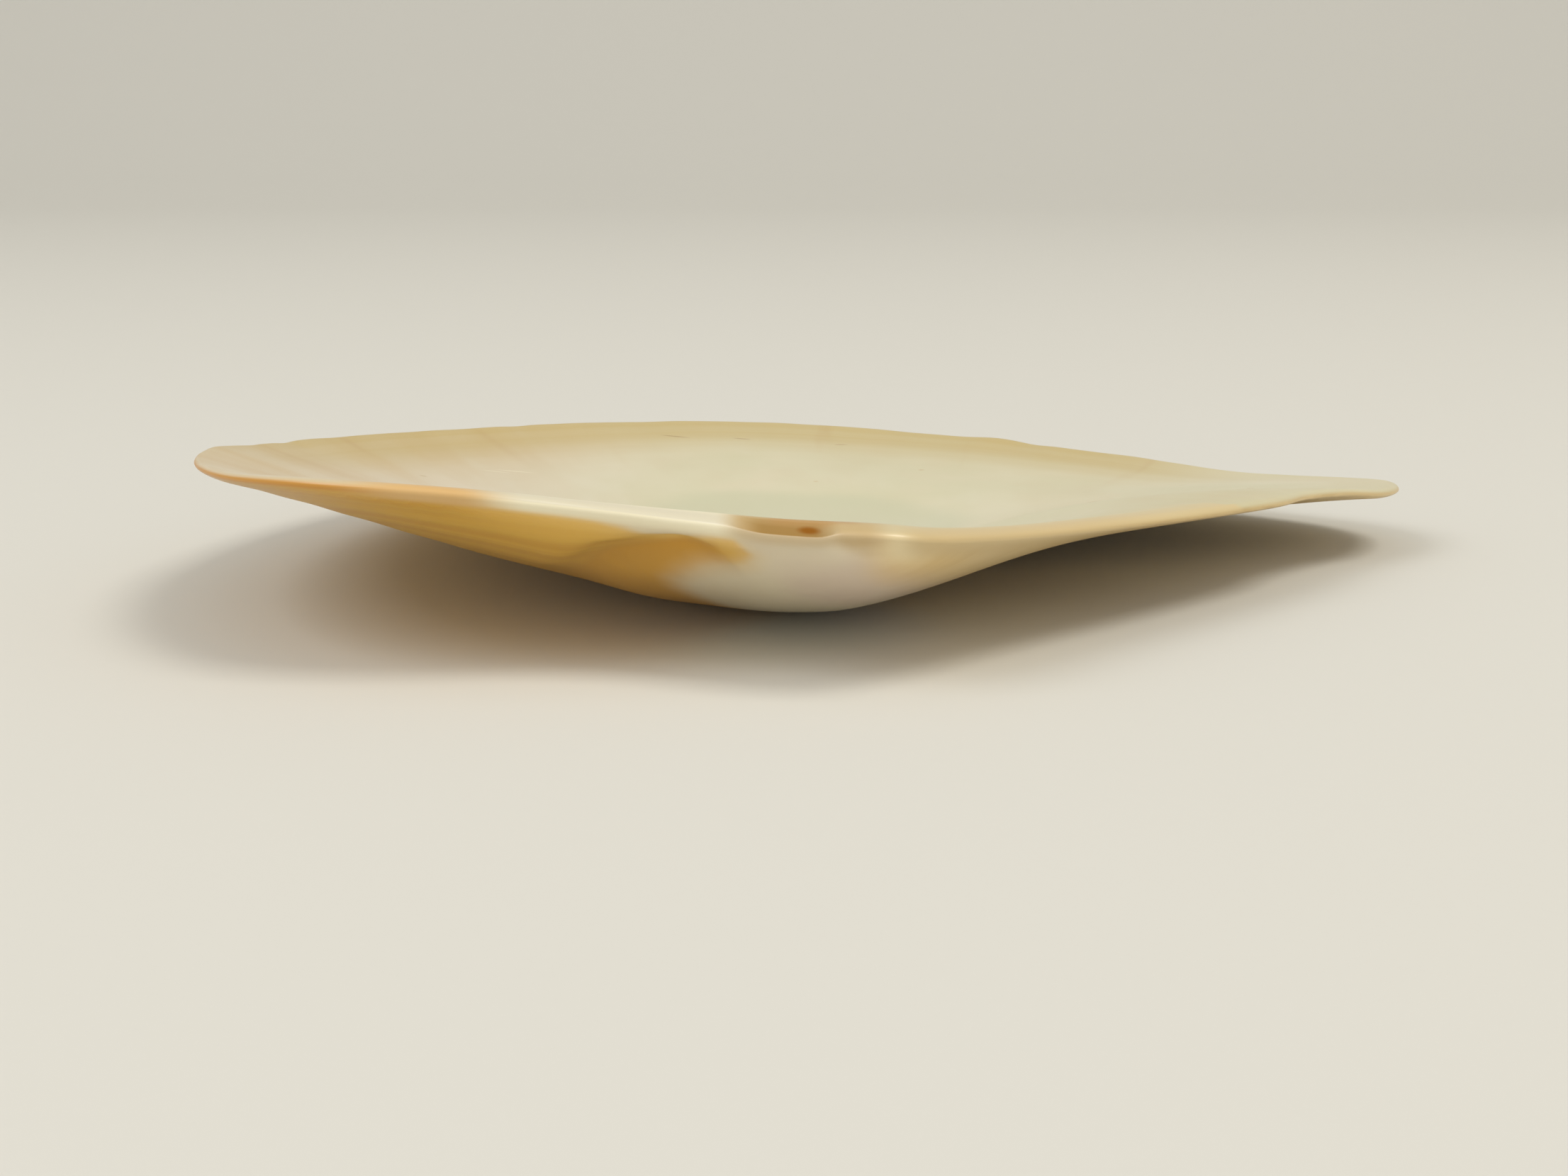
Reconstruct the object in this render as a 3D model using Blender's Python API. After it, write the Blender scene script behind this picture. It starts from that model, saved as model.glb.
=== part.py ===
"""Pearl oyster shell: one ground and polished valve, lying on its convex side.

Metres, +Z up. The origin is under the middle of the valve, on the surface it lies on. The hinge and
the umbo are on the -Y side, the wing points to +X, and the dish opens upward.
The valve grew as one piece, so it is one solid: a loft of closed rings that leave the worn resting
flat, climb the outer face, turn over the rim and come back down the inner face.
"""
import math

import bpy
import numpy as np

VALVE_LENGTH = 0.1895         # along X, the longest side
RESTING_FLAT_RADIUS = 0.0135  # the worn flat under the deepest part of the bowl
BOWL_CENTRE = (-0.0083, -0.0095)
BOWL_THICKNESS = 0.0042       # the wall in the middle of the bowl
ROUNDING = 1.15               # run of the rounded edge, in edge thicknesses
HINGE_PLATE_RISE = 0.0026     # extra thickness of the hinge plate at the umbo
HINGE_PLATE_RUN = 0.0055      # how far in from the edge the plate reaches its full thickness
HINGE_PLATE_WIDTH = 0.012     # and where it starts to thin again
HINGE_PLATE_END = 0.030       # and where it has blended into the bowl
PIT_CENTRE = (-0.0075, -0.0748)
PIT_HALF_SIZE = (0.0070, 0.0036)
PIT_DEPTH = 0.0024
FOLD_FROM = (-0.023, -0.0715)  # the fold under the byssal notch, from the rim
FOLD_TO = (-0.042, -0.042)     # to where it fades on the outer face
FOLD_HALF_WIDTH = 0.0050
FOLD_DEPTH = 0.0016

STEPS_PER_SPAN = 4            # ring corners between two neighbouring rim points
OUTER_STEPS = 10              # rings on the outer face between the resting flat and the edge
INNER_STEPS = 9

# The rim seen from above, anticlockwise from the beak: x, y and height, in millimetres.
RIM = [
    (5, -81.5, 20.5), (13, -76.5, 19.1), (24, -65, 17.3), (36, -53, 16), (50, -39.5, 14.8), (66, -23, 13.6),
    (73, -12.5, 12.8), (81, -4, 11.8), (89, 3, 10.5), (93.5, 12, 9.7), (94, 21, 9), (89, 29.5, 8),
    (81, 36.5, 7.2), (70, 44.5, 6.8), (54, 58, 7.1), (33, 71, 7.8), (10, 79, 8.5), (-14, 81, 9.7),
    (-38, 75, 10.7), (-58, 63.5, 11.7), (-74, 48, 13.2), (-85.5, 29, 15.5), (-92.5, 8, 18),
    (-95, -15, 20.4), (-92, -37, 22.2), (-84, -57, 24.1), (-70, -70.5, 25.4), (-49, -74, 24.4),
    (-31, -72, 22), (-20, -73.5, 20.9), (-8, -78.5, 20.5),
]
RIM_TABLE_LENGTH = 189.5

# Around the bowl, by direction in degrees from +X: how sharply the outer face curls up (2 is a round
# bowl, less is a straighter flank), how much it flattens again toward the rim, the thickness of the
# edge in millimetres, and the share of the hinge plate's extra thickness.
AROUND = [
    (0, 1.1, 0.55, 1.6, 0.1), (22, 1.2, 0.42, 1.3, 0.0), (50, 1.6, 0.22, 1.7, 0.0),
    (90, 1.75, 0.19, 1.9, 0.0), (135, 1.78, 0.2, 1.7, 0.0), (180, 1.66, 0.3, 1.4, 0.0),
    (205, 1.62, 0.29, 1.5, 0.05), (225, 1.66, 0.28, 2.0, 0.25), (245, 2.02, 0.03, 2.9, 0.7),
    (265, 2.18, -0.05, 3.4, 1.0), (295, 1.83, 0.04, 2.7, 0.7), (325, 1.42, 0.42, 2.0, 0.25),
]


def closed_curve(rows, steps):
    """Rows of numbers on a smooth closed curve through the given rows."""
    rows = np.array(rows, float)
    out = []
    for i in range(len(rows)):
        before, a, b, after = rows[i - 1], rows[i], rows[(i + 1) % len(rows)], rows[(i + 2) % len(rows)]
        for t in np.arange(steps) / steps:
            out.append(0.5 * (2 * a + (b - before) * t + (2 * before - 5 * a + 4 * b - after) * t ** 2
                              + (3 * a - before - 3 * b + after) * t ** 3))
    return np.array(out)


def around(column, angle):
    """A column of AROUND at these angles in radians, smooth all the way round."""
    a = np.radians([row[0] for row in AROUND])
    v = np.array([row[column] for row in AROUND], float)
    a = np.concatenate([a[-2:] - 2 * math.pi, a, a[:2] + 2 * math.pi])
    v = np.concatenate([v[-2:], v, v[:2]])
    slope = (v[2:] - v[:-2]) / (a[2:] - a[:-2])
    a, v = a[1:-1], v[1:-1]
    q = np.mod(angle, 2 * math.pi)
    i = np.clip(np.searchsorted(a, q, side="right") - 1, 0, len(a) - 2)
    h = a[i + 1] - a[i]
    t = (q - a[i]) / h
    return ((2 * t ** 3 - 3 * t ** 2 + 1) * v[i] + (t ** 3 - 2 * t ** 2 + t) * h * slope[i]
            + (3 * t ** 2 - 2 * t ** 3) * v[i + 1] + (t ** 3 - t ** 2) * h * slope[i + 1])


def smooth(x):
    x = np.clip(x, 0, 1)
    return x * x * (3 - 2 * x)


def rings():
    """The rings of the loft: outer face from the flat to the rim, then the inner face back."""
    scale = VALVE_LENGTH / RIM_TABLE_LENGTH
    rim = closed_curve(RIM, STEPS_PER_SPAN) * scale
    centre = np.array(BOWL_CENTRE)
    away = rim[:, :2] - centre
    reach = np.hypot(away[:, 0], away[:, 1])
    ray = away / reach[:, None]
    angle = np.arctan2(away[:, 1], away[:, 0])
    curl, flatten = around(1, angle), around(2, angle)
    edge, plate = around(3, angle) / 1000, np.clip(around(4, angle), 0, 1)
    low_share = 0.35

    def section(radius, top):
        u = np.clip((radius - RESTING_FLAT_RADIUS) / (reach - RESTING_FLAT_RADIUS), 0, 1)
        inward = np.clip(reach - radius, 0, None)
        xy = centre + ray * radius[:, None]
        lift = u ** curl * (1 + flatten * (1 - u * u))
        turn = 1 - np.clip(inward / (ROUNDING * edge), 0, 1)
        body = edge * np.sqrt(np.clip(1 - turn ** 2, 0, 1))
        start, stop = np.array(FOLD_FROM), np.array(FOLD_TO)
        along = ((xy - start) @ (stop - start)) / ((stop - start) @ (stop - start))
        aside = np.hypot(*(xy - start - np.outer(np.clip(along, 0, 1), stop - start)).T)
        fold = FOLD_DEPTH * np.exp(-(aside / FOLD_HALF_WIDTH) ** 2) * smooth((1.15 - along) / 0.6)
        base = (rim[:, 2] - low_share * edge) * lift
        base = base + low_share * edge * u - low_share * body * u
        if not top:
            return np.column_stack([xy, base + fold * smooth(inward / 0.003)])
        wall = body + (BOWL_THICKNESS - edge) * smooth(inward / 0.045)
        shelf = smooth(inward / HINGE_PLATE_RUN)
        shelf = shelf * (1 - smooth((inward - HINGE_PLATE_WIDTH) / (HINGE_PLATE_END - HINGE_PLATE_WIDTH)))
        pit = ((xy - np.array(PIT_CENTRE)) / np.array(PIT_HALF_SIZE)) ** 2
        pit = PIT_DEPTH * smooth(1.7 * (1 - pit.sum(axis=1))) * smooth(inward / 0.0018)
        return np.column_stack([xy, base + wall + HINGE_PLATE_RISE * plate * shelf - pit])

    outer, inner = [], []
    turn_in = ROUNDING * edge
    for step in range(OUTER_STEPS + 1):
        u = (step / OUTER_STEPS) ** 0.85
        outer.append(section(RESTING_FLAT_RADIUS + (reach - turn_in - RESTING_FLAT_RADIUS) * u, False))
    for part in (0.5, 0.13):
        outer.append(section(reach - turn_in * part, False))
    inner.append(section(reach, False))
    for part in (0.06, 0.25, 0.55, 1.0):
        inner.append(section(reach - turn_in * part, True))
    for extra in (0.0018, 0.004, 0.008, 0.014):
        inner.append(section(reach - turn_in - extra, True))
    inside = reach - turn_in - 0.014
    for step in range(1, INNER_STEPS + 1):
        inner.append(section(inside * (1 - step / (INNER_STEPS + 0.4)), True))
    return outer + inner


def loft(name, loops):
    """One closed mesh through rings of equal count, with a flat face below and a fan above."""
    loops = [loop.copy() for loop in loops]
    points = np.concatenate(loops)
    middle = (points[:, :2].min(axis=0) + points[:, :2].max(axis=0)) / 2
    points[:, :2] -= middle
    points[:, 2] = np.where(np.abs(points[:, 2]) < 1e-6, 0, points[:, 2])
    count = len(loops[0])
    last = (len(loops) - 1) * count
    top = points[last:].mean(axis=0)
    vertices = [tuple(p) for p in points] + [tuple(top)]
    faces = [tuple(reversed(range(count)))]
    for ring in range(len(loops) - 1):
        for i in range(count):
            j = (i + 1) % count
            a = ring * count
            faces.append((a + i, a + j, a + count + j, a + count + i))
    for i in range(count):
        faces.append((last + i, last + (i + 1) % count, len(points)))
    mesh = bpy.data.meshes.new(name)
    mesh.from_pydata(vertices, [], faces)
    mesh.validate()
    mesh.shade_smooth()
    mesh.set_sharp_from_angle(angle=math.radians(40))
    return bpy.data.objects.new(name, mesh)


def nacre():
    material = bpy.data.materials.new("polished_nacre")
    material.use_nodes = True
    shader = material.node_tree.nodes["Principled BSDF"]
    shader.inputs["Base Color"].default_value = (0.80, 0.74, 0.60, 1)
    shader.inputs["Roughness"].default_value = 0.25
    shader.inputs["Metallic"].default_value = 0.0
    material.diffuse_color = (0.80, 0.74, 0.60, 1)
    return material


def main():
    for thing in list(bpy.data.objects):
        bpy.data.objects.remove(thing, do_unlink=True)
    collection = bpy.data.collections.new("pearl_oyster_shell")
    bpy.context.scene.collection.children.link(collection)
    shell = loft("shell", rings())
    shell.data.materials.append(nacre())
    collection.objects.link(shell)


main()
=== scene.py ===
"""The looks of a polished pearl oyster valve, lying on its convex side.

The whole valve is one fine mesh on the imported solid's own section rules, with the hinge plate's ligament
pit, the fold under the byssal notch and the nicks of the lip in its shape, and one procedural nacre.
"""

import math

import bpy
import numpy as np
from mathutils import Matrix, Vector


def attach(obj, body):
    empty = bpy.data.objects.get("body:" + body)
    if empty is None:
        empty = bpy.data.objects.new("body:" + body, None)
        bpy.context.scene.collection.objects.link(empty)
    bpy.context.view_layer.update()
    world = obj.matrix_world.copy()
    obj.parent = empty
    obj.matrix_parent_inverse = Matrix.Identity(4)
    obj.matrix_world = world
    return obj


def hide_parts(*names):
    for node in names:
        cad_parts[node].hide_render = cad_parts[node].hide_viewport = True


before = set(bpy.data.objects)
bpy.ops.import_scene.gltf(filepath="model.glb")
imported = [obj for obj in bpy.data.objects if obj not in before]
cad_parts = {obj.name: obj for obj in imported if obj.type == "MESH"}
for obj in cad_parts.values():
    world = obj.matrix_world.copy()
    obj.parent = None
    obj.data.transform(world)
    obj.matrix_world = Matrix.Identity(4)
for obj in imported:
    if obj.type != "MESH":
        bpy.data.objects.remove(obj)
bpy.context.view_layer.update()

# The valve's own sizes, in metres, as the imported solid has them.
FLAT_RADIUS = 0.0135  # the worn flat on which it rests
BOWL_CENTRE = np.array((-0.0083, -0.0095))
BOWL_THICKNESS = 0.0042
ROUNDING = 1.15       # run of the rounded edge, in edge thicknesses
BELOW_RIM = 0.35      # the share of the edge's thickness that hangs below the rim's own line
PLATE_RISE = 0.0026   # extra thickness of the hinge plate
PLATE_RUN = 0.0055    # how far in from the edge the plate reaches its full thickness
PLATE_WIDTH = 0.012   # and where it starts to thin again
PLATE_END = 0.030     # and where it has blended into the bowl

# Small forms of the surface, in metres.
FOLD_DEPTH = 0.0017
PIT_WALL_DEPTH, PIT_LIP_DEPTH, SLIT_DEPTH, NOTCH_DEPTH = 0.0015, 0.0004, 0.0004, 0.0004
SCAR_CENTRE, SCAR_RADII, SCAR_STEP = (-0.005, 0.011), (0.029, 0.020), 0.00014
SWELL_HEIGHT, RAY_HEIGHT = 0.00004, 0.00003

# How fine the mesh is.
STEPS_FINE, STEPS_COARSE = 22, 15  # corners between two points of the rim
FINE_SPANS = (0, 1, 27, 28, 29, 30)  # around the beak and the ligament pit
OUTER_RINGS, INNER_RINGS = 58, 46
SHELF_RINGS, SHELF_STEP = 14, 0.00055

# Lines on the outer face, seen from above in millimetres: the crease under the byssal notch, and the
# edge of the ground white zone around the umbo, which leaves an amber tongue between them.
CREASE = [(-42, -36), (-41, -43), (-37, -52.5), (-33.6, -60.5), (-31, -63.5), (-28.7, -64.6),
          (-26.3, -66), (-24, -67.3), (-21.6, -69), (-19.3, -71), (-17, -72.8), (-14.3, -74)]
WHITE = [(-44, -84), (-46, -74.3), (-41.5, -73.4), (-37, -72.8), (-34.9, -72.4), (-32.7, -71.9),
         (-30.6, -71.3), (-28.4, -70.7), (-26.2, -70), (-24, -69.8), (-21.6, -71), (-19.3, -72.4),
         (-17, -73.9), (-14.4, -75.1), (-11.9, -73.6), (-12.9, -70.6), (-15.8, -67.5), (-19.2, -64.3),
         (-21.3, -61.5), (-22.8, -58.4), (-22.4, -55), (-20.2, -51), (-17.5, -47), (-13, -41), (-7, -33),
         (-1, -28), (6, -27), (13, -33), (16, -43), (15.5, -55), (12, -66), (7, -76), (5, -84)]

# The rim from the beak, anticlockwise from above: x, y, height in millimetres.
RIM = [
    (5, -81.5, 20.5), (13, -76.5, 19.1), (24, -65, 17.3), (36, -53, 16), (50, -39.5, 14.8),
    (66, -23, 13.6), (73, -12.5, 12.8), (81, -4, 11.8), (89, 3, 10.5), (93.5, 12, 9.7), (94, 21, 9),
    (89, 29.5, 8), (81, 36.5, 7.2), (70, 44.5, 6.8), (54, 58, 7.1), (33, 71, 7.8), (10, 79, 8.5),
    (-14, 81, 9.7), (-38, 75, 10.7), (-58, 63.5, 11.7), (-74, 48, 13.2), (-85.5, 29, 15.2),
    (-92.5, 8, 17.5), (-95.4, -15, 20.8), (-92.5, -37, 22.5), (-84, -57, 24.1), (-70, -70.5, 25.4),
    (-49, -74, 24.4), (-31, -72, 22), (-20, -73.5, 20.9), (-8, -78.5, 20.5),
]
FREE_MARGIN_FROM, FREE_MARGIN_TO = 7, 29  # the rows of the rim between the wing's end and the notch

# By direction in degrees: curl, flattening, edge thickness in millimetres, share of the hinge plate.
AROUND = [
    (0, 1.1, 0.55, 1.6, 0.1), (22, 1.2, 0.42, 1.3, 0.0), (50, 1.6, 0.22, 1.7, 0.0),
    (90, 1.75, 0.19, 1.9, 0.0), (135, 1.78, 0.2, 1.7, 0.0), (180, 1.66, 0.3, 1.4, 0.0),
    (205, 1.62, 0.29, 1.5, 0.05), (225, 1.66, 0.28, 2.0, 0.25), (245, 2.02, 0.03, 2.9, 0.7),
    (265, 2.18, -0.05, 3.4, 1.0), (295, 1.83, 0.04, 2.7, 0.7), (325, 1.42, 0.42, 2.0, 0.25),
]
UMBO = np.array((0.0015, -0.0795))
HINGE_HALF_Y, BEAK_Y = -0.03, -0.06  # nearer than these are the hinge half and the beak
RIM_SIDE = 0.4  # what side says on the rim's own line
LINE_RANGE = 12  # millimetres from a line beyond which its distance is the same for the colours
SHIFT = np.array((0.00031, 0.00016))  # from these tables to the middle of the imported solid


def closed_curve(rows, counts):
    """Points on a smooth closed curve through the rows, so many after each."""
    rows = np.array(rows, float)
    out = []
    for i in range(len(rows)):
        before, a = rows[i - 1], rows[i]
        b, after = rows[(i + 1) % len(rows)], rows[(i + 2) % len(rows)]
        for t in np.arange(counts[i]) / counts[i]:
            out.append(0.5 * (2 * a + (b - before) * t
                              + (2 * before - 5 * a + 4 * b - after) * t ** 2
                              + (3 * a - before - 3 * b + after) * t ** 3))
    return np.array(out)


def around(column, angle):
    """A column of AROUND at these angles in radians, smooth all the way round."""
    a = np.radians([row[0] for row in AROUND])
    v = np.array([row[column] for row in AROUND], float)
    a = np.concatenate([a[-2:] - 2 * math.pi, a, a[:2] + 2 * math.pi])
    v = np.concatenate([v[-2:], v, v[:2]])
    slope = (v[2:] - v[:-2]) / (a[2:] - a[:-2])
    a, v = a[1:-1], v[1:-1]
    q = np.mod(angle, 2 * math.pi)
    i = np.clip(np.searchsorted(a, q, side="right") - 1, 0, len(a) - 2)
    h = a[i + 1] - a[i]
    t = (q - a[i]) / h
    return ((2 * t ** 3 - 3 * t ** 2 + 1) * v[i] + (t ** 3 - 2 * t ** 2 + t) * h * slope[i]
            + (3 * t ** 2 - 2 * t ** 3) * v[i + 1] + (t ** 3 - t ** 2) * h * slope[i + 1])


def smooth(x, low=0.0, high=1.0):
    """0 below low, 1 above high, and an even slope between them."""
    x = np.clip((np.asarray(x, float) - low) / (high - low), 0, 1)
    return x * x * (3 - 2 * x)


def between(x, rise, fall):
    """1 between two soft edges, each given by where it starts and ends, and 0 outside them."""
    return smooth(x, *rise) * (1 - smooth(x, *fall))


def bump(x, y, cx, cy, rx, ry):
    """A soft round hill of height 1 at a place in plan, in metres."""
    return np.exp(-((x - cx) / rx) ** 2 - ((y - cy) / ry) ** 2)


def beside(xy, path, closed=False):
    """Distance to a path in plan, positive on its left, and the share of the way along it."""
    path = np.array(path, float) / 1000
    if closed:
        path = np.vstack([path, path[:1]])
    best, along, sign = np.full(len(xy), 9.0), np.zeros(len(xy)), np.ones(len(xy))
    for k in range(len(path) - 1):
        a, d = path[k], path[k + 1] - path[k]
        v = xy - a
        t = np.clip((v @ d) / (d @ d), 0, 1)
        gap = np.hypot(*(v - np.outer(t, d)).T)
        closer = gap < best - 1e-9
        along = np.where(closer, (k + t) / (len(path) - 1), along)
        sign = np.where(closer, np.sign(d[0] * v[:, 1] - d[1] * v[:, 0]), sign)
        best = np.minimum(gap, best)
    if closed:
        sign = -np.ones(len(xy))
        for k in range(len(path) - 1):
            (ax, ay), (bx, by) = path[k], path[k + 1]
            spans = (ay > xy[:, 1]) != (by > xy[:, 1])
            cross = ax + (xy[:, 1] - ay) * (bx - ax) / (by - ay if by != ay else 1e-12)
            sign = np.where(spans & (xy[:, 0] < cross), -sign, sign)
    return best * sign, along


def scar_oval(x, y):
    """How far out a place is in the muscle's scar: 0 in its middle and 1 at its edge."""
    return ((x - SCAR_CENTRE[0]) / SCAR_RADII[0]) ** 2 + ((y - SCAR_CENTRE[1]) / SCAR_RADII[1]) ** 2


# The fine rim, and what changes along it.
counts = [STEPS_FINE if i in FINE_SPANS else STEPS_COARSE for i in range(len(RIM))]
rim = closed_curve(RIM, counts) / 1000
away = rim[:, :2] - BOWL_CENTRE
reach = np.hypot(away[:, 0], away[:, 1])
ray = away / reach[:, None]
angle = np.arctan2(away[:, 1], away[:, 0])
N = len(rim)
step = np.hypot(*(np.roll(rim[:, :2], -1, 0) - rim[:, :2]).T)
run = np.concatenate([[0], np.cumsum(step)[:-1]]) / step.sum()
curl, flatten = around(1, angle), around(2, angle)
edge, plate = around(3, angle) / 1000, np.clip(around(4, angle), 0, 1)
turn_in = ROUNDING * edge  # the run of the rounded edge

# The lip isn't quite even: slow waves and a few nicks, all well under half a millimetre.
LIP_WAVES = [(9, 0.10, 0.1), (17, 0.07, 0.55), (31, 0.04, 0.3), (53, 0.02, 0.8)]  # count, height, start
LIP_NICKS = [  # height in millimetres, place and radius in metres
    (0.35, 0.033, 0.0712, 0.005), (-0.22, 0.040, 0.0675, 0.003), (-0.25, -0.0905, 0.014, 0.003),
    (-0.10, -0.0935, 0.002, 0.003), (-0.2, -0.058, 0.0635, 0.003),
]
waves = sum(a * np.sin(2 * math.pi * (k * run + p)) for k, a, p in LIP_WAVES)
free_lip = between(run, (0.27, 0.33), (0.78, 0.84))
nicks = sum(h * bump(rim[:, 0], rim[:, 1], cx, cy, r, r) for h, cx, cy, r in LIP_NICKS)
lip_lift = (waves * free_lip * 0.6 + nicks) / 1000
lip_in = (-waves * free_lip * 0.8 - 0.6 * nicks) / 1000
first_free, last_free = sum(counts[:FREE_MARGIN_FROM]), sum(counts[:FREE_MARGIN_TO])
margin = rim[first_free:last_free, :2]


def growth(xy):
    """Growth from the umbo, 0, to the free margin, 1, and the direction from the umbo in turns."""
    d = xy - UMBO
    turn = np.arctan2(d[:, 1], d[:, 0])
    left = np.full(len(xy), 9.0)
    for k in range(0, len(margin), 3):
        left = np.minimum(left, np.hypot(*(xy - margin[k]).T))
    left = np.clip(left - 0.0008, 0, None)
    r = np.hypot(d[:, 0], d[:, 1])
    return r / (r + 1.15 * left + 1e-6), turn / (2 * math.pi)


def pit_width(x, y):
    """1 along the ligament pit in the hinge edge, 0 away from it."""
    return between(x, (-0.0165, -0.0100), (-0.0036, -0.0006)) * (y < BEAK_Y)


def section(radius, top):
    """One closed ring at these distances from the bowl's centre, on the top face or the outer one."""
    u = np.clip((radius - FLAT_RADIUS) / (reach - FLAT_RADIUS), 0, 1)
    inward = np.clip(reach - radius, 0, None)
    xy = BOWL_CENTRE + ray * (radius - lip_in * smooth(1 - inward / 0.006))[:, None]
    lift = np.where(u > 0, u, 0) ** curl * (1 + flatten * (1 - u * u))
    turn = 1 - np.clip(inward / turn_in, 0, 1)
    if not top:
        # Toward the wing the hinge edge rolls over into the outer face more slowly.
        broad = ROUNDING + 1.5 * smooth(xy[:, 0], -0.002, 0.010) * (xy[:, 1] < 0.0)
        turn = 1 - np.clip(inward / (broad * edge), 0, 1)
    body = edge * np.sqrt(np.clip(1 - turn ** 2, 0, 1))
    base = (rim[:, 2] - BELOW_RIM * edge) * lift + BELOW_RIM * edge * u - BELOW_RIM * body * u
    base = base + lip_lift * smooth(1 - inward / 0.010)
    x, y = xy[:, 0], xy[:, 1]
    if not top:
        # The fold under the byssal notch is steep toward the left flank and slow toward the umbo.
        aside, along = beside(xy, CREASE)
        spread = np.where(aside > 0, 0.0055, 0.0030)
        fold = FOLD_DEPTH * np.exp(-(aside / spread) ** 2) * between(along, (0.02, 0.35), (0.72, 0.96))
        out = base + fold * smooth(inward / 0.0035)
        # The ground flank rolls in very low swells along the growth lines.
        g, _ = growth(xy)
        swell = SWELL_HEIGHT * np.sin(2 * math.pi * 11 * g + 0.8 * np.sin(5 * angle))
        swell = swell * smooth(g, 0.35, 0.7) * smooth(u, 0.1, 0.4)
        swell = swell * smooth(inward / 0.005) * smooth(-x, -0.01, 0.03)
        notch = NOTCH_DEPTH * pit_width(x, y) * smooth(1 - inward / (0.6 * turn_in))
        return np.column_stack([xy, np.where(u > 0, out + swell - notch, out)])
    wall = body + (BOWL_THICKNESS - edge) * smooth(inward / 0.045)
    shelf = smooth(inward / PLATE_RUN) * (1 - smooth((inward - PLATE_WIDTH) / (PLATE_END - PLATE_WIDTH)))
    up = base + wall + PLATE_RISE * plate * shelf
    # The ligament pit is a hollow in the rounded hinge edge, with a short slit at its right end.
    pit = pit_width(x, y)
    up = up - PIT_WALL_DEPTH * pit * between(inward, (0, 0.0009), (0.0013, 0.0038))
    up = up - PIT_LIP_DEPTH * pit * (1 - smooth(inward, 0, 0.0030))
    up = up - SLIT_DEPTH * bump(x, inward, -0.0049, 0.0017, 0.0015, 0.0006) * pit
    # The muscle's scar is a shallow stage in the bowl, and faint rays run in from the lip.
    up = up - SCAR_STEP * (1 - smooth(scar_oval(x, y), 0.78, 1.15))
    rays = np.sin(2 * math.pi * (30 * run + 0.25 * np.sin(2 * math.pi * 5 * run)))
    up = up + RAY_HEIGHT * rays * smooth(1 - inward / 0.035) * smooth(inward / 0.004) * free_lip
    return np.column_stack([xy, up])


# The rings of the mesh: out along the outer face, round the edge and back in on top. Each keeps its
# side, from 0 on the outer face to 1 on the inner one, and how far in from the rim it lies.
rings, sides, inwards = [], [], []


def add(radius, top, side):
    """One more ring at these distances from the bowl's centre."""
    rings.append(section(radius, top))
    sides.append(np.full(N, float(side)))
    inwards.append(np.clip(reach - radius, 0, None))


UNDER_EDGE = [(0.8, 0), (0.6, 0), (0.42, 0), (0.27, 0.05), (0.15, 0.1), (0.07, 0.2), (0.02, 0.3)]
OVER_EDGE = [(0.015, 0.5), (0.05, 0.6), (0.11, 0.7), (0.2, 0.8), (0.32, 0.9), (0.47, 1), (0.65, 1),
             (0.82, 1), (1.0, 1)]
for part in (0.1, 0.4, 0.7):
    add(np.full(N, FLAT_RADIUS * part), False, 0)
for k in range(OUTER_RINGS + 1):
    add(FLAT_RADIUS + (reach - turn_in - FLAT_RADIUS) * (k / OUTER_RINGS) ** 0.9, False, 0)
for part, side in UNDER_EDGE:
    add(reach - turn_in * part, False, side)
add(reach, False, RIM_SIDE)
for part, side in OVER_EDGE:
    add(reach - turn_in * part, True, side)
for k in range(1, SHELF_RINGS + 1):
    add(reach - turn_in - SHELF_STEP * k, True, 1)
inside = reach - turn_in - SHELF_RINGS * SHELF_STEP
for k in range(1, INNER_RINGS + 1):
    add(inside * (1 - k / (INNER_RINGS + 0.5)), True, 1)

points = np.concatenate(rings)
points[:, 2] = np.clip(points[:, 2], 0, None)
R = len(rings)
first, last = len(points), len(points) + 1
bottom = np.array([[*BOWL_CENTRE, 0.0]])
lid = rings[-1].mean(axis=0)[None, :]
points = np.concatenate([points, bottom, lid])
side_at = np.concatenate(sides + [[0.0], [1.0]])
inward_at = np.concatenate(inwards + [[reach.mean()], [reach.mean()]])
growth_at, ray_at = growth(points[:, :2])

# The mesh: quads between the rings, and a fan at each end.
i = np.arange(N)
j = (i + 1) % N
quads = np.concatenate([np.column_stack([k * N + i, k * N + j, (k + 1) * N + j, (k + 1) * N + i])
                        for k in range(R - 1)])
top_ring = (R - 1) * N
fans = np.concatenate([np.column_stack([np.full(N, first), j, i]),
                       np.column_stack([top_ring + i, top_ring + j, np.full(N, last)])])
placed = points.copy()
placed[:, :2] += SHIFT
mesh = bpy.data.meshes.new("pearl_valve")
mesh.from_pydata([tuple(p) for p in placed], [], [tuple(f) for f in quads.tolist() + fans.tolist()])
mesh.validate()
mesh.shade_smooth()
valve = bpy.data.objects.new("pearl_valve", mesh)
bpy.context.scene.collection.objects.link(valve)

# Where each layer of the nacre shows, from real places on the valve.
x, y, height = points.T
over_edge = np.where(side_at >= RIM_SIDE, inward_at, -inward_at)  # metres in from the rim's own line
hinge_half = (y < HINGE_HALF_Y).astype(float)
beak = (y < BEAK_Y).astype(float)
behind = smooth(y, -0.050, -0.012)  # on the hidden side the amber dies away over a wider stretch
white, _ = beside(points[:, :2], WHITE, closed=True)
aside, along = beside(points[:, :2], CREASE)

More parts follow.
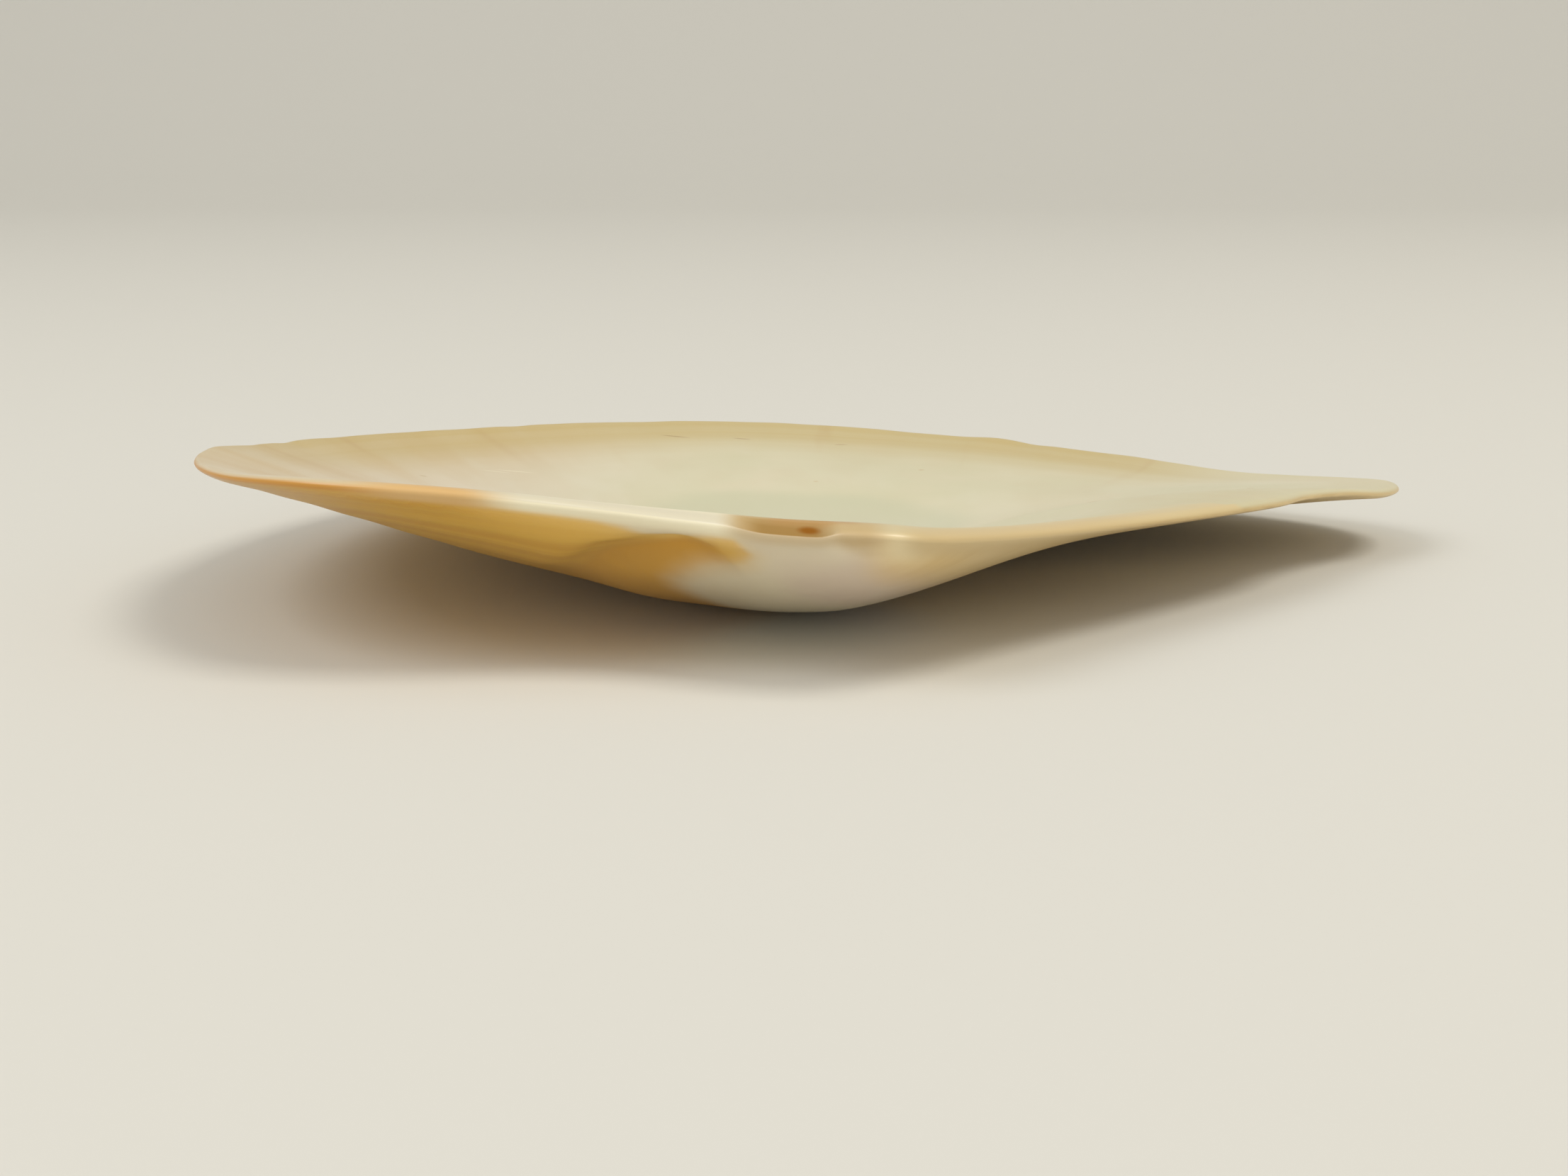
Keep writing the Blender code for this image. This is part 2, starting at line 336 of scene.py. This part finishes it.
fields = {
    "side": side_at,
    "rim_gap": inward_at * 1000,
    "white": np.clip(white * 1000, -LINE_RANGE, LINE_RANGE),
    "crease": np.clip(aside * 1000, -LINE_RANGE, LINE_RANGE),
    "crease_run": along,
    "tongue": (1 - smooth(x, -0.0125, -0.0060)) * (1 - smooth(aside, 0.020, 0.030)),
    "amber": smooth(-x / (1 + 1.4 * behind), -0.022, 0.012),
    "to_wing": smooth(x, 0.012, 0.048) * (1 - 0.6 * behind),
    "cream_side": smooth(x, -0.004, 0.006),
    # low on the outer face, where the amber is painted paler as painted bounce light
    "foot": (1 - smooth(height, 0.009, 0.026)) * (1 - side_at),
    "warm_side": smooth(-x, 0.020, 0.075),
    "far_left": smooth(-x, 0.055, 0.092),
    "glow": smooth(x, -0.062, -0.030) * (1 - side_at),
}

# On the inner face: the golden lip, the gold on the left and the muscle's scar, shaped like a bean.
fields["lip"] = np.exp(-(inward_at / 0.0180) ** 2)
fields["lip"] *= (0.25 + 0.75 * smooth(y, -0.045, 0.03)) * (1 - 0.75 * smooth(x, 0.048, 0.078))
fields["left_gold"] = smooth(-x, 0.025, 0.080) * (1 - smooth(-y, 0.03, 0.07))
fields["left_gold"] *= np.exp(-(inward_at / 0.034) ** 2)
bean = np.arctan2(y - SCAR_CENTRE[1], x - SCAR_CENTRE[0])
bean = 0.16 * np.sin(2 * bean + 0.6) + 0.08 * np.sin(5 * bean)
fields["scar"] = 1 - smooth(scar_oval(x, y) + bean, 0.62, 1.25)

# Around the ligament pit.
lower = 0.0024 * smooth(x, -0.0024, 0.0034)
# Partly painted shade: the tan beside the pit is the hinge edge's own tan, darkened to stand in for the
# shade in the hollow there.
fields["hinge_tan_and_shade"] = beak * smooth(over_edge + lower, -0.0016, 0.0008)
fields["hinge_tan_and_shade"] *= between(x, (-0.0170, -0.0130), (0.0022, 0.0070))
fields["hinge_tan_and_shade"] *= 1 - 0.45 * smooth(-over_edge, 0.0002, 0.0016)
fields["hinge_tan_and_shade"] *= 1 - smooth(inward_at, 0.0034, 0.0050)
fields["pit"] = beak * smooth(side_at, 0.42, 0.62) * (1 - smooth(inward_at, 0.0026, 0.0042))
fields["pit"] *= between(x, (-0.0155, -0.0105), (-0.0040, -0.0010))
fields["pit_lip"] = beak * between(x, (-0.0120, -0.0080), (0.0, 0.0030)) * (side_at > 0.5)
fields["pit_lip"] *= np.exp(-((inward_at - 0.0036) / 0.0009) ** 2)
# Painted shadow: the white just under the ligament pit is painted a little darker.
fields["shade_under_pit"] = beak * pit_width(x, y) * (1 - smooth(side_at, 0.42, 0.62))
fields["shade_under_pit"] *= np.exp(-(inward_at / 0.0030) ** 2)
fields["ridge"] = beak * bump(x, inward_at, 0.0072, 0.0006, 0.0034, 0.0038)
fields["ridge"] *= 1 - 0.5 * smooth(side_at, 0.6, 0.9)

# Along the rounded edge, from the left tip past the notch to the wing.
fields["edge_left"] = hinge_half * smooth(-x, 0.048, 0.056)
fields["edge_lens"] = hinge_half * between(-x, (0.040, 0.050), (0.056, 0.068))
fields["edge_lens"] *= between(over_edge, (-0.0016, -0.0004), (0.0025, 0.0060))
fields["edge_white"] = hinge_half * between(-x, (0.011, 0.017), (0.040, 0.050))
fields["edge_white"] *= between(over_edge, (-0.0012, -0.0002), (0.0022, 0.0075))
fields["edge_right"] = hinge_half * smooth(x, 0.003, 0.010) * (1 - 0.6 * smooth(x, 0.030, 0.050))
fields["edge_right"] *= between(over_edge, (-0.0045, -0.0002), (0.0012, 0.0055))
# Painted light: the outer face just under the rim toward the wing is painted lighter, fading downward, as
# the lit top of the edge.
fields["painted_edge_light"] = hinge_half * between(x, (0.008, 0.020), (0.070, 0.090))
fields["painted_edge_light"] *= np.exp(-(inward_at / 0.0065) ** 2)

for name, values in fields.items():
    layer = mesh.attributes.new(name, "FLOAT", "POINT")
    layer.data.foreach_set("value", np.ascontiguousarray(values, dtype=np.float32))
fan = np.column_stack([growth_at, ray_at, side_at]).astype(np.float32)
mesh.attributes.new("fan", "FLOAT_VECTOR", "POINT").data.foreach_set("vector", fan.ravel())


def srgb(r, g, b):
    """A colour as a screen shows it, 0 to 255, in the linear values that a shader takes."""
    shares = [v / 255 for v in (r, g, b)]
    linear = [v / 12.92 if v <= 0.04045 else ((v + 0.055) / 1.055) ** 2.4 for v in shares]
    return tuple(linear) + (1,)


SLIT_CENTRE, SLIT_RADII = (-0.0045, -0.0775, 0.0208), (0.0020, 0.0040, 0.00062)
# Small marks on the polished inside: place, half length and half width in millimetres, turn, colour.
MARKS = [
    (-28, 66.5, 3.4, 0.45, -8, (158, 122, 74)), (-15.5, 67.5, 2.2, 0.4, -5, (160, 124, 76)),
    (3, 66, 1.6, 0.4, 6, (170, 134, 84)), (-54, 30, 4.2, 0.4, 16, (240, 232, 206)),
    (-57, 27.5, 3.0, 0.35, 16, (238, 230, 204)), (43, 9, 1.7, 1.0, 4, (196, 170, 120)),
    (-67, 12, 0.8, 0.6, 0, (190, 164, 116)), (17, 46, 0.7, 0.6, 0, (196, 172, 122)),
    (60, 24, 0.7, 0.5, 0, (192, 168, 118)), (-34, -8, 0.8, 0.5, 0, (206, 190, 150)),
    (68, 6, 1.0, 0.6, 20, (200, 176, 128)), (-2, 38, 0.6, 0.5, 0, (204, 182, 136)),
]


class Nodes:
    """Small helpers to wire a node tree."""

    def __init__(self, material):
        material.use_nodes = True
        self.tree = material.node_tree
        self.tree.nodes.clear()

    def new(self, kind, **options):
        node = self.tree.nodes.new(kind)
        for key, value in options.items():
            setattr(node, key, value)
        return node

    def put(self, socket, value):
        if isinstance(value, bpy.types.NodeSocket):
            self.tree.links.new(value, socket)
        else:
            socket.default_value = value

    def math(self, operation, a, b=0.0, c=None):
        node = self.new("ShaderNodeMath", operation=operation)
        self.put(node.inputs[0], a)
        self.put(node.inputs[1], b)
        if c is not None:
            self.put(node.inputs[2], c)
        return node.outputs[0]

    def times(self, first, *others):
        for other in others:
            first = self.math("MULTIPLY", first, other)
        return first

    def plus(self, a, b):
        return self.math("ADD", a, b)

    def mix_value(self, factor, a, b):
        node = self.new("ShaderNodeMix", data_type="FLOAT", clamp_factor=True)
        self.put(node.inputs[0], factor)
        self.put(node.inputs[2], a)
        self.put(node.inputs[3], b)
        return node.outputs[0]

    def oval(self, place, centre, radii, turn=0.0, soft=0.35):
        """1 inside an oval body in metres, 0 outside it."""
        node = self.new("ShaderNodeMapping", vector_type="TEXTURE")
        self.put(node.inputs["Vector"], place)
        node.inputs["Location"].default_value = centre
        node.inputs["Rotation"].default_value = (0, 0, math.radians(turn))
        node.inputs["Scale"].default_value = radii
        size = self.new("ShaderNodeVectorMath", operation="LENGTH")
        self.put(size.inputs[0], node.outputs[0])
        return self.step(size.outputs["Value"], 1.0, soft)

    def field(self, name, output="Fac"):
        node = self.new("ShaderNodeAttribute", attribute_type="GEOMETRY", attribute_name=name)
        return node.outputs[output]

    def mix(self, factor, a, b):
        node = self.new("ShaderNodeMix", data_type="RGBA", clamp_factor=True)
        self.put(node.inputs[0], factor)
        self.put(node.inputs[6], a)
        self.put(node.inputs[7], b)
        return node.outputs[2]

    def noise(self, vector, scale, detail, roughness):
        node = self.new("ShaderNodeTexNoise")
        self.put(node.inputs["Vector"], vector)
        node.inputs["Scale"].default_value = scale
        node.inputs["Detail"].default_value = detail
        node.inputs["Roughness"].default_value = roughness
        return node.outputs[0]

    def stretch(self, vector, factors):
        node = self.new("ShaderNodeVectorMath", operation="MULTIPLY")
        self.put(node.inputs[0], vector)
        node.inputs[1].default_value = factors
        return node.outputs[0]

    def step(self, value, low, high, to_low=0.0, to_high=1.0):
        node = self.new("ShaderNodeMapRange", interpolation_type="SMOOTHSTEP", clamp=True)
        self.put(node.inputs[0], value)
        for k, v in ((1, low), (2, high), (3, to_low), (4, to_high)):
            node.inputs[k].default_value = v
        return node.outputs[0]


def inside_colour(n, place, bands, rays, drift, cloud, cloud2):
    """Cream nacre, greener over the muscle's scar, with a golden lip and faint rays near it."""
    inner = n.mix(n.step(cloud, 0.35, 0.68), srgb(220, 214, 185), srgb(213, 208, 175))
    inner = n.mix(n.times(n.step(cloud2, 0.45, 0.80), 0.20), inner, srgb(226, 210, 184))
    inner = n.mix(n.times(n.field("warm_side"), 0.7), inner, srgb(225, 211, 192))
    drift_share = n.mix_value(n.field("warm_side"), 0.22, 0.5)
    inner = n.mix(n.times(n.step(drift, 0.48, 0.72), drift_share), inner, srgb(209, 190, 154))
    inner = n.mix(n.times(n.step(drift, 0.46, 0.24), 0.35), inner, srgb(226, 222, 200))
    inner = n.mix(n.times(n.field("scar"), 0.60), inner, srgb(199, 200, 168))
    gold = n.times(n.field("left_gold"), n.step(rays, 0.36, 0.64, 0.25, 0.80))
    inner = n.mix(gold, inner, srgb(210, 184, 144))
    golden_lip = n.times(n.field("lip"), n.step(bands, 0.30, 0.70, 0.70, 1.0))
    inner = n.mix(golden_lip, inner, srgb(193, 167, 92))
    fleck = n.times(n.step(rays, 0.60, 0.74), n.field("lip"))
    inner = n.mix(n.times(fleck, 0.35), inner, srgb(184, 146, 84))
    for x_mm, y_mm, long, wide, turn, colour in MARKS:
        centre_at, radii = (x_mm / 1000, y_mm / 1000, 0.01), (long / 1000, wide / 1000, 1.0)
        spot = n.oval(place, centre_at, radii, turn)
        inner = n.mix(n.times(spot, 0.6), inner, srgb(*colour))
    return inner


def outside_colour(n, bands, fine_bands, cloud, cloud2):
    """Amber growth bands on the free flanks, cream toward the wing, a tongue and the white umbo, with
    painted shade in the fold and under the pit and painted bounce light low down.
    """
    white_in, crease, run_at = n.field("white"), n.field("crease"), n.field("crease_run")
    band = n.step(bands, 0.38, 0.62)
    amber = n.mix(band, srgb(208, 154, 44), srgb(220, 176, 62))
    amber = n.mix(n.times(n.step(fine_bands, 0.40, 0.75), 0.14), amber, srgb(186, 132, 38))
    near_white = n.times(n.step(white_in, -10.0, -0.5), n.field("glow"), 0.8)
    amber = n.mix(near_white, amber, srgb(250, 206, 104))
    amber = n.mix(n.times(n.field("far_left"), 0.5), amber, srgb(221, 188, 150))
    cream = n.mix(band, srgb(228, 203, 150), srgb(236, 213, 164))
    wing = n.mix(band, srgb(178, 146, 86), srgb(190, 160, 98))
    cream = n.mix(n.field("to_wing"), cream, wing)
    shell = n.mix(n.field("amber"), cream, amber)

    # The amber tongue between the crease and the ground umbo, brown at the bottom and vivid at its tip.
    # Its dark brown start is partly the amber's own colour and partly painted shade under the crease.
    tongue = n.mix(n.step(run_at, 0.15, 0.80), srgb(176, 119, 20), srgb(204, 142, 14))
    tongue = n.mix(n.step(run_at, 0.82, 0.98), tongue, srgb(222, 174, 60))
    in_tongue = n.times(n.step(crease, -0.8, 1.0), n.step(run_at, 0.0, 0.12), n.field("tongue"))
    shell = n.mix(in_tongue, shell, tongue)
    # Painted shade: the flank along the fold's crease is painted darker, as the shade in the crease.
    shade_in_fold = n.times(n.step(crease, -3.0, -0.2), n.step(crease, 1.4, 0.2), n.step(run_at, 0.75, 0.45))
    shell = n.mix(n.times(shade_in_fold, 0.35), shell, srgb(146, 104, 50))

    # Low down on the outer face the amber is painted paler, as painted bounce light from the floor.
    shell = n.mix(n.times(n.field("foot"), n.field("amber"), 0.60), shell, srgb(244, 198, 104))

    # The umbo is ground through to white and faintly lilac nacre, with a soft margin toward the wing.
    white = n.mix(n.step(cloud, 0.38, 0.62), srgb(238, 227, 198), srgb(228, 210, 190))
    white = n.mix(n.times(n.step(cloud2, 0.55, 0.70), 0.35), white, srgb(244, 236, 212))
    ragged = n.plus(white_in, n.times(n.plus(cloud2, -0.5), 1.6))
    soft = n.step(n.plus(ragged, n.times(n.field("cream_side"), -1.5)), -5.5, 7.0)
    crisp = n.mix_value(n.field("foot"), n.step(ragged, -0.9, 0.8), n.step(ragged, -3.4, 3.4))
    shell = n.mix(n.mix_value(n.field("cream_side"), crisp, soft), shell, white)
    shell = n.mix(n.field("ridge"), shell, srgb(250, 234, 192))
    # Painted shadow under the ligament pit.
    return n.mix(n.times(n.field("shade_under_pit"), 0.25), shell, srgb(206, 188, 158))


def edge_colour(n, place, shell, inner):
    """Both faces and the rounded edge: peach on the left, white over the notch with painted shade on its
    crest, gold to the wing with a painted light band under the rim.
    """
    side, rim_gap, pit = n.field("side"), n.field("rim_gap"), n.field("pit")
    both = n.mix(n.step(side, 0.45, 0.95), shell, inner)
    on_edge = n.times(n.step(side, 0.02, 0.30), n.step(rim_gap, 1.2, 2.6, 1.0, 0.0))
    thin = n.times(on_edge, n.step(side, 0.75, 0.45))
    both = n.mix(n.times(thin, n.field("edge_left")), both, srgb(206, 146, 56))
    both = n.mix(n.field("edge_lens"), both, srgb(221, 180, 117))
    # Painted shade and light: the top of the white edge, which faces the light, is painted darker, and the
    # face under it is painted lighter.
    shaded_crest = n.times(n.step(side, 0.48, 0.62), n.step(rim_gap, 4.5, 1.8))
    white_edge_light_and_shade = n.mix(shaded_crest, srgb(252, 243, 211), srgb(224, 216, 190))
    both = n.mix(n.field("edge_white"), both, white_edge_light_and_shade)
    # Painted light under the rim toward the wing.
    glow = n.times(n.field("painted_edge_light"), n.step(side, 0.3, 0.8), 0.75)
    both = n.mix(glow, both, srgb(221, 199, 148))
    both = n.mix(n.times(n.field("edge_right"), 0.85), both, srgb(212, 187, 136))

    # The hinge edge around the ligament pit.
    # The hinge edge's tan, partly painted shade in the hollow beside the pit.
    both = n.mix(n.times(n.field("hinge_tan_and_shade"), 0.80), both, srgb(196, 166, 112))
    both = n.mix(n.times(pit, 0.85), both, srgb(164, 128, 66))
    both = n.mix(n.times(n.field("pit_lip"), 0.6), both, srgb(184, 136, 78))
    slit = n.oval(place, SLIT_CENTRE, SLIT_RADII, soft=0.3)
    return n.mix(n.times(slit, n.step(pit, 0.2, 0.5)), both, srgb(155, 99, 26))


def nacre():
    """One procedural material for the whole valve, led by the fields that the mesh carries."""
    material = bpy.data.materials.new("polished_nacre")
    n = Nodes(material)
    out = n.new("ShaderNodeOutputMaterial")
    shader = n.new("ShaderNodeBsdfPrincipled")
    n.tree.links.new(shader.outputs[0], out.inputs[0])
    place = n.new("ShaderNodeTexCoord").outputs["Object"]
    fan_at = n.field("fan", "Vector")
    bands = n.noise(n.stretch(fan_at, (26, 1.6, 3)), 1.0, 4, 0.6)
    fine_bands = n.noise(n.stretch(fan_at, (95, 3, 3)), 1.0, 2, 0.5)
    rays = n.noise(n.stretch(fan_at, (2.0, 105, 3)), 1.0, 2, 0.5)
    drift = n.noise(n.stretch(fan_at, (5, 34, 3)), 1.0, 3, 0.6)
    cloud = n.noise(place, 26, 3, 0.5)
    cloud2 = n.noise(place, 75, 3, 0.55)
    inner = inside_colour(n, place, bands, rays, drift, cloud, cloud2)
    shell = outside_colour(n, bands, fine_bands, cloud, cloud2)
    n.put(shader.inputs["Base Color"], edge_colour(n, place, shell, inner))

    # The polish is the same all over, and duller only in the ligament pit.
    pit = n.field("pit")
    n.put(shader.inputs["Roughness"], n.math("MULTIPLY_ADD", pit, 0.25, 0.35))
    n.put(shader.inputs["Specular IOR Level"], n.math("MULTIPLY_ADD", pit, -0.42, 0.5))
    shader.inputs["IOR"].default_value = 1.53
    n.put(shader.inputs["Coat Weight"], n.math("MULTIPLY_ADD", pit, -0.12, 0.12))
    shader.inputs["Coat Roughness"].default_value = 0.22
    return material


valve.data.materials.append(nacre())
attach(valve, "root")
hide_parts("shell")

# A plain pale floor that sweeps up behind: flat, then a quarter circle, then upright.
FLOOR_REACH, BEND_RADIUS, BACK_HEIGHT = 14.0, 0.9, 3.5
FLOOR_GAP = 0.0001  # the floor lies this far under the valve
bend = [(-FLOOR_REACH, 0.0), (BEND_RADIUS, 0.0)]
for t in np.radians(np.arange(7.5, 91, 7.5)):
    bend.append((BEND_RADIUS + BEND_RADIUS * math.sin(t), BEND_RADIUS - BEND_RADIUS * math.cos(t)))
bend.append((2 * BEND_RADIUS, BACK_HEIGHT))
count = len(bend)
sheet = bpy.data.meshes.new("floor")
sheet.from_pydata([(side * FLOOR_REACH, a, b - FLOOR_GAP) for side in (-1, 1) for a, b in bend], [],
                  [(k + count, k + count + 1, k + 1, k) for k in range(count - 1)])
sheet.shade_smooth()
floor = bpy.data.objects.new("floor", sheet)
bpy.context.scene.collection.objects.link(floor)
paper = bpy.data.materials.new("pale_paper")
paper.use_nodes = True
paper_shader = paper.node_tree.nodes["Principled BSDF"]
paper_shader.inputs["Base Color"].default_value = (0.68, 0.67, 0.62, 1)
paper_shader.inputs["Roughness"].default_value = 0.9
floor.data.materials.append(paper)


def softbox(name, place, size, power, colour):
    """A square area light in watts, turned toward the valve."""
    data = bpy.data.lights.new(name, "AREA")
    data.size, data.energy, data.color = size, power, colour
    lamp = bpy.data.objects.new(name, data)
    lamp.location = place
    lamp.rotation_euler = (Vector((0, 0, 0.01)) - Vector(place)).to_track_quat("-Z", "Y").to_euler()
    bpy.context.scene.collection.objects.link(lamp)


# Soft studio light and the camera.
softbox("key", (0.75, -0.25, 1.55), 0.70, 11.5, (1.0, 0.95, 0.86))
softbox("fill", (-0.95, -0.45, 1.15), 0.80, 7.0, (0.95, 0.97, 1.0))
world = bpy.data.worlds.new("studio")
world.use_nodes = True
background = world.node_tree.nodes["Background"]
background.inputs["Color"].default_value = (1.0, 0.97, 0.92, 1)
background.inputs["Strength"].default_value = 0.63
bpy.context.scene.world = world
bpy.context.scene.view_settings.view_transform = "Standard"

lens = bpy.data.cameras.new("camera")
lens.sensor_width, lens.lens = 36, 54.08
lens.clip_start = 0.01
LOOKING_DOWN = 12.77  # degrees below level
camera = bpy.data.objects.new("camera", lens)
camera.location = (-0.0076, -0.3703, 0.0798)
camera.rotation_euler = (math.radians(90 - LOOKING_DOWN), 0, 0)
bpy.context.scene.collection.objects.link(camera)
bpy.context.scene.camera = camera
